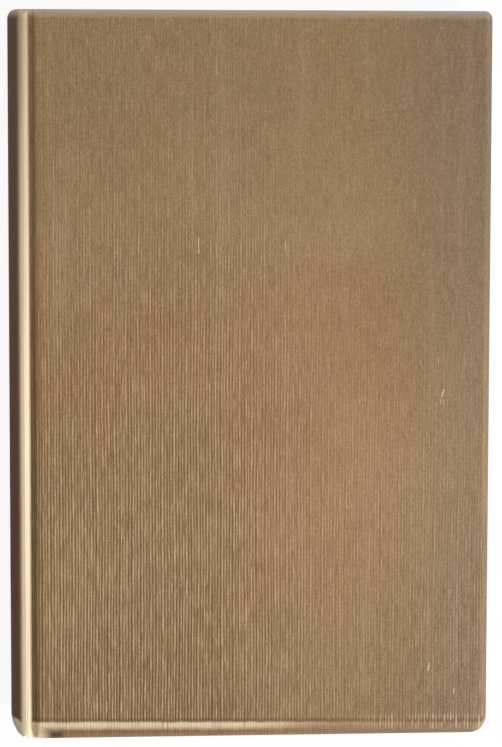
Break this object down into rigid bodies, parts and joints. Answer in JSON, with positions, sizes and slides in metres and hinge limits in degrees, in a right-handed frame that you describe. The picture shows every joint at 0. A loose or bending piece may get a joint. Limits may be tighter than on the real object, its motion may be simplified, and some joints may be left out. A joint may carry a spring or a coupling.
{
  "type": "hardback book",
  "caption": "Closed clothbound hardback book with a rounded spine, narrow joints and blank ribbed covers that both open on hinges.",
  "frame": {"origin": "middle of the book's footprint, on the outer face of the back cover", "axes": "+X from the spine to the fore-edge, +Y from tail to head, +Z from the back cover to the front cover"},
  "size_m": [0.1404, 0.2124, 0.0302],
  "materials": {
    "cloth": "ribbed brown bookcloth, faded, rubbed pale at the joints, tail edge and corners",
    "board": "grey-brown binder's board, matt",
    "card": "thin brown card, matt",
    "leaves": "aged cream book paper with cut edges",
    "endpaper": "plain aged cream endpaper",
    "lining_paper": "brown kraft paper",
    "gauze": "open starched cotton gauze",
    "thread": "linen thread",
    "band": "woven cotton band in two plain colours"
  },
  "bodies": {
    "block": {"text_block": "leaves", "sewing_thread": "thread", "spine_gauze": "gauze", "spine_lining": "lining_paper", "headband": "band", "tailband": "band", "spine_stiffener": "card", "spine_cloth": "cloth", "front_flyleaf": "endpaper", "back_flyleaf": "endpaper"},
    "front_cover": {"front_board": "board", "front_cloth": "cloth", "front_pastedown": "endpaper", "front_gauze_flange": "gauze"},
    "back_cover": {"back_board": "board", "back_cloth": "cloth", "back_pastedown": "endpaper", "back_gauze_flange": "gauze"}
  },
  "joints": [
    {"name": "front_cover_hinge", "type": "hinge", "parent": "block", "child": "front_cover", "pos_m": [-0.0635, 0, 0.0303], "axis": [0, -1, 0], "range_deg": [0, 180]},
    {"name": "back_cover_hinge", "type": "hinge", "parent": "block", "child": "back_cover", "pos_m": [-0.0635, 0, -0.0001], "axis": [0, 1, 0], "range_deg": [0, 180]}
  ]
}
